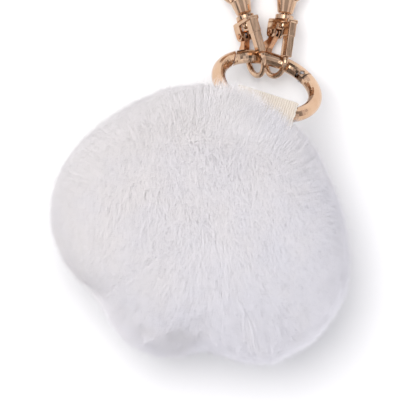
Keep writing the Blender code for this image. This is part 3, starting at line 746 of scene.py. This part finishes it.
def build_fur():
    """The skin and its pile, in pieces that ride on the paw, and one piece round the tape's root, kept apart from
    them.
    """
    fur, underfur = fur_material(), backing_material()
    skin = skin_mesh()
    paint(skin, underfur)
    before = read_places(skin.data)
    puff(skin)
    paths, outs = grow_fur(skin, before, STRANDS)
    tones = 0.05 * rng.normal(size=len(paths))
    beside = beside_tape(paths[:, 0])
    near = np.flatnonzero(beside)
    bending = strand_mesh("fur_by_tape", paths[near], outs[near], tones[near])
    paint(bending, fur)
    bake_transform(bending)
    made = []
    order = np.argsort(np.arctan2(paths[:, 0, 1], paths[:, 0, 0]))
    order = order[~beside[order]]
    for index, start in enumerate(range(0, len(order), PIECE_STRANDS)):
        part = order[start:start + PIECE_STRANDS]
        piece = strand_mesh(f"fur_{index + 1:02d}", paths[part], outs[part], tones[part])
        paint(piece, fur)
        made.append(piece)
    for piece in [skin] + made:
        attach(piece, "paw")
    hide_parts("front_fur_panel", "back_fur_panel", "stuffing", "seam_thread")


# ------------------------------------------------------------------ tape

def tape_outline():
    """The middle line of the folded tape, closed, as points outward and up."""
    outline = []
    for turn in np.linspace(0, 2 * math.pi, OUTLINE_STEPS, endpoint=False):
        out = (math.cos(turn), math.sin(turn))
        best = max(TAPE_SPINE, key=lambda c: c[0] * out[0] + c[1] * out[1] + c[2])
        reach = best[2] - TAPE_MIDDLE
        outline.append((best[0] + reach * out[0], best[1] + reach * out[1]))
    return np.array(outline + outline[:1])


def tape_faces(rows, columns):
    """The faces of two shells of rows and columns of points, closed along both edges."""
    faces = []
    block = rows * columns
    for row in range(rows):
        after = (row + 1) % rows
        for column in range(columns - 1):
            quad = (row * columns + column, row * columns + column + 1,
                    after * columns + column + 1, after * columns + column)
            faces.append(quad)
            faces.append(tuple(block + i for i in reversed(quad)))
        for column in (0, columns - 1):
            strip = (row * columns + column, after * columns + column,
                     block + after * columns + column, block + row * columns + column)
            faces.append(strip if column == 0 else strip[::-1])
    return faces


def build_tape():
    """Woven tape folded round the ring's near wire and sewn into the seam."""
    node = frame["nodes"]["tape_loop"]
    local = in_tape_frame(np.array([v.co for v in node.data.vertices]))
    left, right = local[:, 0].min(), local[:, 0].max()
    outline = tape_outline()
    lengths = np.concatenate([[0], np.cumsum(np.linalg.norm(np.diff(outline, axis=0), axis=1))])
    places = np.linspace(0, lengths[-1], TAPE_ROWS, endpoint=False)
    path = np.stack([np.interp(places, lengths, outline[:, i]) for i in range(2)], axis=1)
    tangent = np.roll(path, -1, axis=0) - np.roll(path, 1, axis=0)
    tangent /= np.linalg.norm(tangent, axis=1, keepdims=True)
    normal = np.stack([tangent[:, 1], -tangent[:, 0]], axis=1)
    columns = TAPE_RIBS * RIB_COLUMNS + 1
    across = np.linspace(0, 1, columns)
    rib = np.abs(np.sin(across * TAPE_RIBS * math.pi)) ** 0.7
    verts, tones = [], []
    for side in (1, -1):
        for row in range(TAPE_ROWS):
            wobble = 0.00012 * math.sin(row * 0.9) + 0.00008 * math.sin(row * 2.3)
            for column in range(columns):
                edge = min(across[column], 1 - across[column])
                half = TAPE_HALF + RIB_HEIGHT * rib[column]
                half *= 0.45 + 0.55 * min(1.0, edge * 30)
                point = path[row] + side * half * normal[row]
                x = left + (right - left) * across[column] + wobble * (2 * across[column] - 1)
                verts.append(ROOT + x * SEAM_LINE + point[0] * OUTWARD
                             + np.array([0, 0, point[1]]))
                # painted shade: the grooves between the ribs get a darker tone than the ribs
                tones.append(0.25 + 0.5 * rib[column])
    mesh = bpy.data.meshes.new("woven_tape")
    mesh.from_pydata([tuple(v) for v in verts], [], tape_faces(TAPE_ROWS, columns))
    mesh.update()
    mesh.shade_smooth()
    layer = mesh.attributes.new("rib_groove_shade", "FLOAT", "POINT")
    layer.data.foreach_set("value", np.array(tones, np.float32))
    tape = bpy.data.objects.new("woven_tape", mesh)
    bpy.context.scene.collection.objects.link(tape)
    paint(tape, cotton_material())
    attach(tape, "tape")
    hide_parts("tape_loop")


# ------------------------------------------------------------------ metal

def latch_seat():
    """The seat under the slit where the gate meets the ring, finished in darker rose gold as painted shade in the
    slit.
    """
    across = SEAM_LINE
    far = np.cross(RING_AXIS, across)

    def on_ring(reach, degrees):
        turn = math.radians(degrees)
        return reach * (math.cos(turn) * across + math.sin(turn) * far)

    along = on_ring(RING_RADIUS, LATCH_ANGLE) - on_ring(GATE_PIN_REACH, GATE_PIN_ANGLE)
    along /= np.linalg.norm(along)
    middle = RING_CENTRE + on_ring(RING_RADIUS, LATCH_ANGLE)
    mesh_data = bmesh.new()
    rings = []
    for step in range(SEAT_STEPS + 1):
        degrees = LATCH_ANGLE - SEAT_SPAN / 2 + SEAT_SPAN * step / SEAT_STEPS
        centre, out = RING_CENTRE + on_ring(RING_RADIUS, degrees), on_ring(1.0, degrees)
        turns = [2 * math.pi * i / SEAT_SIDES for i in range(SEAT_SIDES)]
        rings.append([mesh_data.verts.new(
            centre + SEAT_RADIUS * (math.cos(turn) * out + math.sin(turn) * RING_AXIS))
            for turn in turns])
    for low, high in zip(rings, rings[1:]):
        for i in range(SEAT_SIDES):
            after = (i + 1) % SEAT_SIDES
            mesh_data.faces.new((low[i], low[after], high[after], high[i]))
    mesh_data.faces.new(rings[0])
    mesh_data.faces.new(rings[-1])
    for depth, sign in SEAT_FACES:
        everything = mesh_data.verts[:] + mesh_data.edges[:] + mesh_data.faces[:]
        cut = bmesh.ops.bisect_plane(mesh_data, geom=everything, dist=1e-7,
                                     plane_co=middle + depth * along,
                                     plane_no=sign * along, clear_outer=True)["geom_cut"]
        edges = [e for e in cut if isinstance(e, bmesh.types.BMEdge)]
        bmesh.ops.contextual_create(mesh_data, geom=edges)
    bmesh.ops.recalc_face_normals(mesh_data, faces=mesh_data.faces)
    mesh = bpy.data.meshes.new("latch_seat")
    mesh_data.to_mesh(mesh)
    mesh_data.free()
    seat = bpy.data.objects.new("latch_seat", mesh)
    bpy.context.scene.collection.objects.link(seat)
    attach(seat, next(name for name, nodes in frame["record"]["behaviour"]["bodies"].items()
                       if "ring_body" in nodes))
    return seat


def dress_metal():
    """Finish every CAD node by its material slot, and the ring with polish lines."""
    gold = gold_material("champagne_gold", *GOLD)
    ring_gold = gold_material("ring_gold", *GOLD, turned=(tuple(RING_CENTRE), tuple(RING_AXIS)))
    copper = gold_material("rose_gold", *COPPER)
    steel = steel_material()
    thread = cotton_material()
    finishes = {"champagne_gold": gold, "rose_gold": copper, "spring_steel": steel,
                "cream_cotton": thread}
    for entry in frame["record"]["subparts"]:
        finish = finishes.get(entry["material_slot"])
        if finish:
            paint(frame["nodes"][entry["node"]], finish)
    for name in ("ring_body", "ring_gate"):
        paint(frame["nodes"][name], ring_gold)
    # painted shade: the metal under the latch slit gets the darker rose gold
    paint(latch_seat(), copper)


# ------------------------------------------------------------------ studio

def build_floor(scene):
    """A plain pale floor, just under the paw."""
    mesh = bpy.data.meshes.new("floor")
    corners = [(-FLOOR_HALF, -FLOOR_HALF, 0), (FLOOR_HALF, -FLOOR_HALF, 0),
               (FLOOR_HALF, FLOOR_HALF, 0), (-FLOOR_HALF, FLOOR_HALF, 0)]
    mesh.from_pydata(corners, [], [(0, 1, 2, 3)])
    floor = bpy.data.objects.new("floor", mesh)
    floor.location.z = FLOOR_LEVEL
    scene.collection.objects.link(floor)
    finish, nodes, _ = new_material("paper")
    shader = nodes["Principled BSDF"]
    shader.inputs["Base Color"].default_value = (0.86, 0.86, 0.86, 1)
    shader.inputs["Emission Color"].default_value = (1, 1, 1, 1)
    shader.inputs["Emission Strength"].default_value = 0.02
    shader.inputs["Roughness"].default_value = 0.9
    paint(floor, finish)


def build_camera(scene):
    """Straight down from far off, as the photo is taken."""
    camera_data = bpy.data.cameras.new("camera")
    camera_data.lens = LENS
    camera_data.sensor_width = SENSOR_WIDTH
    camera_data.clip_start = 0.01
    camera_data.clip_end = 20.0
    camera = bpy.data.objects.new("camera", camera_data)
    distance = VIEW_WIDTH * LENS / SENSOR_WIDTH
    camera.location = (*VIEW_CENTRE, VIEW_HEIGHT + distance)
    scene.collection.objects.link(camera)
    scene.camera = camera


def build_lights(scene):
    """Soft round lights, all aimed at the middle."""
    for name, place, size, power, glossy, diffuse in LIGHTS:
        light_data = bpy.data.lights.new(name, "AREA")
        light_data.shape = "DISK"
        light_data.size = size
        light_data.energy = power
        light_data.color = LIGHT_COLOUR
        light = bpy.data.objects.new(name, light_data)
        light.location = place
        light.visible_glossy = glossy
        light.visible_diffuse = diffuse
        light.rotation_euler = (-Vector(place)).to_track_quat("-Z", "Y").to_euler()
        scene.collection.objects.link(light)


def build_room(scene):
    """Grey bands round the scene, for the metal to reflect."""
    world = bpy.data.worlds.new("studio")
    world.use_nodes = True
    scene.world = world
    nodes, links = world.node_tree.nodes, world.node_tree.links
    place = nodes.new("ShaderNodeTexCoord")
    split = nodes.new("ShaderNodeSeparateXYZ")
    shade = ramp(nodes, [(height, (level, level, ROOM_BLUE * level)) for height, level in ROOM])
    scale = add_node(nodes, "ShaderNodeMath", operation="MULTIPLY_ADD")
    scale.inputs[1].default_value = 0.5
    scale.inputs[2].default_value = 0.5
    links.new(place.outputs["Generated"], split.inputs["Vector"])
    links.new(split.outputs["Z"], scale.inputs[0])
    links.new(scale.outputs["Value"], shade.inputs["Fac"])
    links.new(shade.outputs["Color"], nodes["Background"].inputs["Color"])
    nodes["Background"].inputs["Strength"].default_value = 1.0


def build_studio():
    """Floor, camera, lights and surroundings."""
    scene = bpy.context.scene
    scene.view_settings.view_transform = "Standard"
    scene.cycles.diffuse_bounces = 10
    build_floor(scene)
    build_camera(scene)
    build_lights(scene)
    build_room(scene)


build_studio()
build_fur()
build_tape()
dress_metal()
